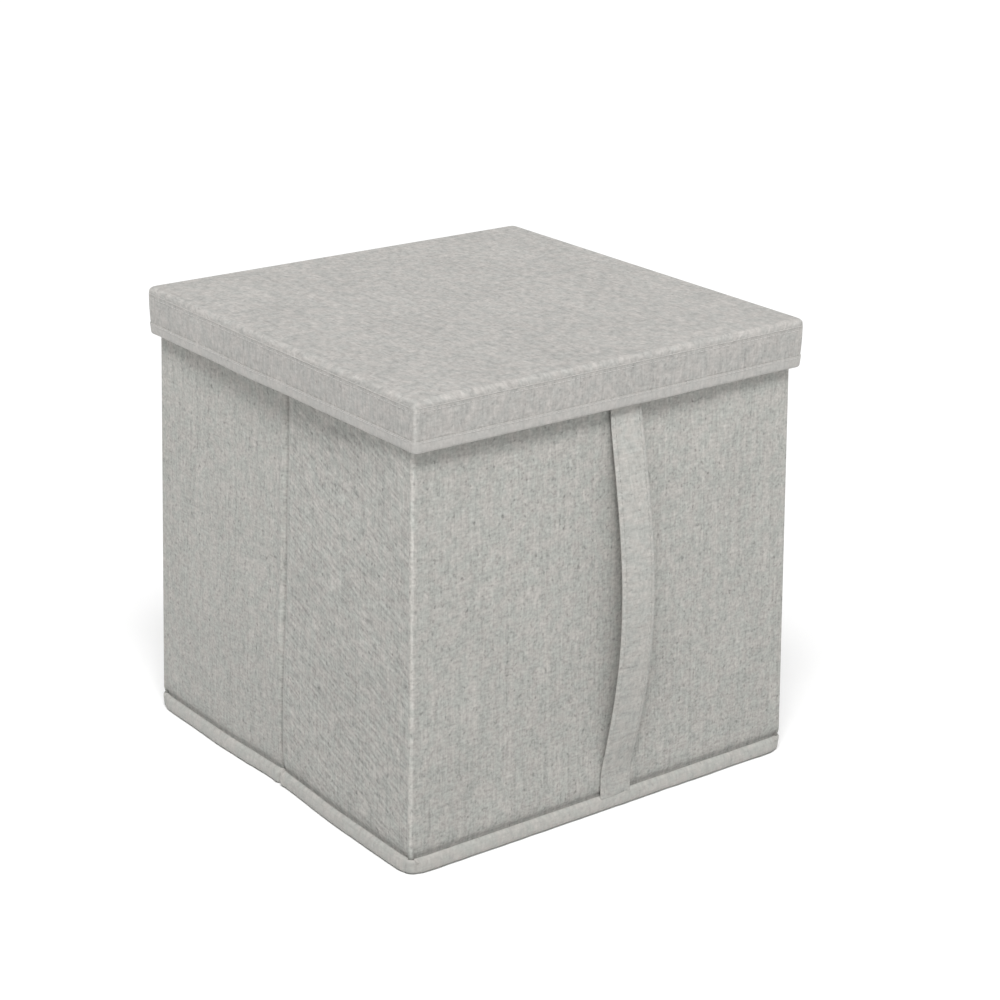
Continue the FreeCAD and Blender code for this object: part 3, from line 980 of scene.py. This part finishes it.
def make_lid_top():
    """The lid's top: cloth with rolled edges over the board, and a lining under it."""
    depth = LID_TOP - SKIRT_TOP
    plain = tray(LID_HALF, LID_TOP, depth, TOP_EDGE, LID_CORNER, CLOTH)

    def place(x, y, layer):
        px, py, z = plain(x, y, layer)
        away = 1 - ease(max(abs(px), abs(py)), 0.9 * LID_HALF, 0.985 * LID_HALF)
        lift = 0.45 * MM * swell(px, py, 1.0, 85 * MM) - 0.15 * MM
        ridge = 0.3 * MM * hump(max(abs(px), abs(py)), LID_HALF - 7 * MM, 2 * MM)
        return px, py, z + away * lift - ridge

    lines = tray_steps(LID_HALF, depth, TOP_EDGE, 5 * MM)
    top = dress(plate("lid_top_cloth", lines, lines, place), "lid")
    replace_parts(top, "lid_top_cover")
    low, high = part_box("lid_top_lining")
    levels = (high.z, low.z)
    side = steps(low.x, high.x, 9 * MM)
    lining = plate("lid_top_lining_cloth", side, side, lambda x, y, layer: (x, y, levels[layer]))
    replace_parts(dress(lining, "lining"), "lid_top_lining")
    for piece in (top, lining):
        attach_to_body(piece, "lid")
    dress(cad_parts["lid_top_board"], "board")


# ---------------------------------------------------------------- stage, light and camera

FLOOR_REACH = 40.0
FLOOR_LEVEL = -0.5 * MM  # just under the bin


def make_floor():
    """A wide pale floor."""
    mesh = bpy.data.meshes.new("floor")
    signs = ((-1, -1), (1, -1), (1, 1), (-1, 1))
    mesh.from_pydata([(x * FLOOR_REACH, y * FLOOR_REACH, FLOOR_LEVEL) for x, y in signs], [], [(0, 1, 2, 3)])
    floor = bpy.data.objects.new("floor", mesh)
    bpy.context.scene.collection.objects.link(floor)
    s = Shader("pale_floor")
    mottle = s.noise(s.add("ShaderNodeTexCoord").outputs["Object"], 3, 2, 0.5)
    colour = s.blend(mottle, (0.90, 0.90, 0.90), (0.92, 0.92, 0.92))
    roughness = s.math("ADD", 0.85, s.math("MULTIPLY", mottle, 0.1))
    floor.data.materials.append(s.finish(colour, mottle, 0.1 * MM, roughness, specular=0.0))


SKY = 0.33  # strength of the sky
SUN, SUN_WIDTH, SUN_RISE = 1.56, 20, 59  # each light's strength in W/m2, and its width and height in degrees
SUN_TURNS = (-46, -28)  # where they come from, in degrees from the front


def direction(turn, rise):
    """From the bin towards something turned from the front and raised by these angles."""
    return Vector((math.sin(turn) * math.cos(rise), -math.cos(turn) * math.cos(rise), math.sin(rise)))


def make_light():
    """A pale sky all round, and two wide soft lights high up on the camera's side."""
    world = bpy.data.worlds.new("studio")
    bpy.context.scene.world = world
    world.use_nodes = True
    sky = world.node_tree.nodes["Background"]
    sky.inputs["Color"].default_value = (1, 1, 1, 1)
    sky.inputs["Strength"].default_value = SKY
    for number, angle in enumerate(SUN_TURNS):
        data = bpy.data.lights.new(f"soft_light_{number}", "SUN")
        data.energy, data.angle = SUN, math.radians(SUN_WIDTH)
        sun = bpy.data.objects.new(data.name, data)
        bpy.context.scene.collection.objects.link(sun)
        away = direction(math.radians(angle), math.radians(SUN_RISE))
        sun.rotation_euler = (-away).to_track_quat("-Z", "Y").to_euler()
    bpy.context.scene.view_settings.view_transform = "Standard"


CAMERA_PLACE = (-0.9370, -1.2567, 0.7443)
CAMERA_TURN, CAMERA_RISE, CAMERA_ROLL = (math.radians(angle) for angle in (-37.49, 20.11, 0.81))
CAMERA_LENS, CAMERA_SENSOR = 88.0, 36  # mm


def make_camera():
    """The camera: turned to the corner between the strap wall and the left wall, and slightly above."""
    data = bpy.data.cameras.new("camera")
    data.sensor_width = CAMERA_SENSOR
    data.lens = CAMERA_LENS
    camera = bpy.data.objects.new("camera", data)
    bpy.context.scene.collection.objects.link(camera)
    back = direction(CAMERA_TURN, CAMERA_RISE)
    right = (-back).cross(Vector((0, 0, 1))).normalized()
    up = right.cross(-back)
    cosine, sine = math.cos(CAMERA_ROLL), math.sin(CAMERA_ROLL)
    leaned_right = cosine * right + sine * up
    leaned_up = cosine * up - sine * right
    axes = Matrix((leaned_right, leaned_up, back)).transposed()
    camera.matrix_world = Matrix.Translation(CAMERA_PLACE) @ axes.to_4x4()
    bpy.context.scene.camera = camera


# ---------------------------------------------------------------- all of it

make_camera()
make_light()
make_floor()
for each in WALLS:
    make_wall(each)
make_base()
make_insert()
make_strap()
for each in LID_SIDES:
    make_skirt(*each)
make_lid_top()
